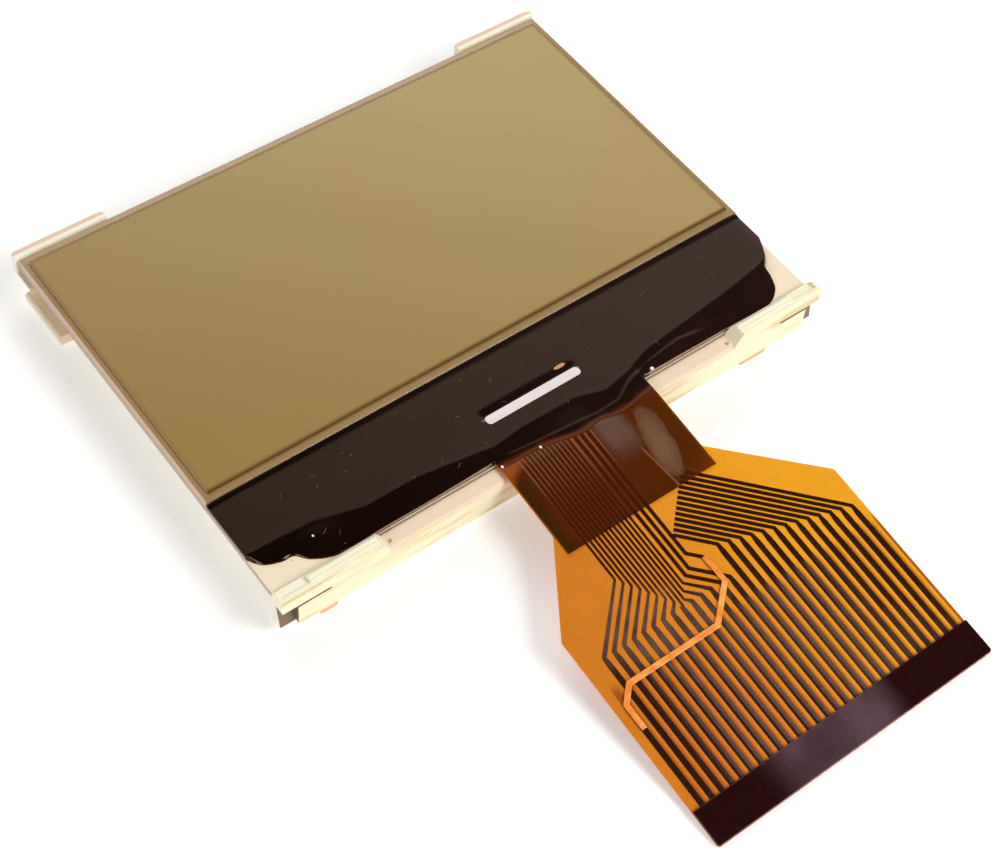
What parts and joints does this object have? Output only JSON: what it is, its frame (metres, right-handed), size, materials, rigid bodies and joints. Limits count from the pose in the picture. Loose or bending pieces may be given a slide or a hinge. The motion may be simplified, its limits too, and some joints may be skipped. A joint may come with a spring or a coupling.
{
  "type": "graphic lcd display module",
  "caption": "Flat graphic liquid crystal display: glass cell on an edge-lit frame, driver chip under black resin, and a fanned-out flex tail that ends in a contact row.",
  "frame": {"origin": "under the middle of the whole part's box, on the surface it lies on", "axes": "+X along the long glass edge, +Y from the flex tail towards the display, +Z out of the viewing face"},
  "size_m": [0.0568, 0.0764, 0.0053],
  "materials": {
    "frame_plastic": "milky moulded plastic, satin",
    "reflector_white": "white film, matt",
    "guide_acrylic": "clear acrylic, polished",
    "diffuser_white": "frosted film",
    "board_laminate": "green laminate, satin",
    "led_white": "white moulded package",
    "led_phosphor": "yellow-green lens",
    "tinned_metal": "tinned, bright",
    "tape_white": "double-sided tape",
    "rear_film": "polarizer film, satin",
    "cell_glass": "ground edges, polished faces",
    "seal_epoxy": "cured epoxy",
    "crystal_layer": "thin fluid layer",
    "plug_resin": "cured amber bead",
    "front_film": "olive-tan polarizer film, satin",
    "bump_film": "thin conductive film",
    "polished_silicon": "polished chip back",
    "black_resin": "glossy black-brown resin",
    "amber_film": "translucent amber film",
    "track_copper": "copper, dulled under the film",
    "gold_plating": "plated, bright",
    "jumper_orange": "orange coated conductor",
    "brown_tape": "translucent brown tape",
    "maroon_stiffener": "dark maroon, glossy"
  },
  "bodies": {
    "root": {"backlight_frame": "frame_plastic", "reflector_sheet": "reflector_white", "light_guide": "guide_acrylic", "diffuser_sheet": "diffuser_white", "led_board": "board_laminate", "led_packages": "led_white", "led_lenses": "led_phosphor", "backlight_pads": "tinned_metal", "cell_tape": "tape_white", "rear_polarizer": "rear_film", "rear_glass": "cell_glass", "cell_seal": "seal_epoxy", "liquid_crystal": "crystal_layer", "port_plug": "plug_resin", "front_glass": "cell_glass", "front_polarizer": "front_film", "chip_film": "bump_film", "driver_chip": "polished_silicon", "ledge_resin": "black_resin", "bond_film": "bump_film", "flex_base_film": "amber_film", "front_tracks": "track_copper", "rear_tracks": "track_copper", "through_vias": "track_copper", "contact_fingers": "gold_plating", "front_cover_film": "amber_film", "rear_cover_film": "amber_film", "jumper_track": "jumper_orange", "neck_tape": "brown_tape", "end_stiffener": "maroon_stiffener"}
  },
  "joints": []
}
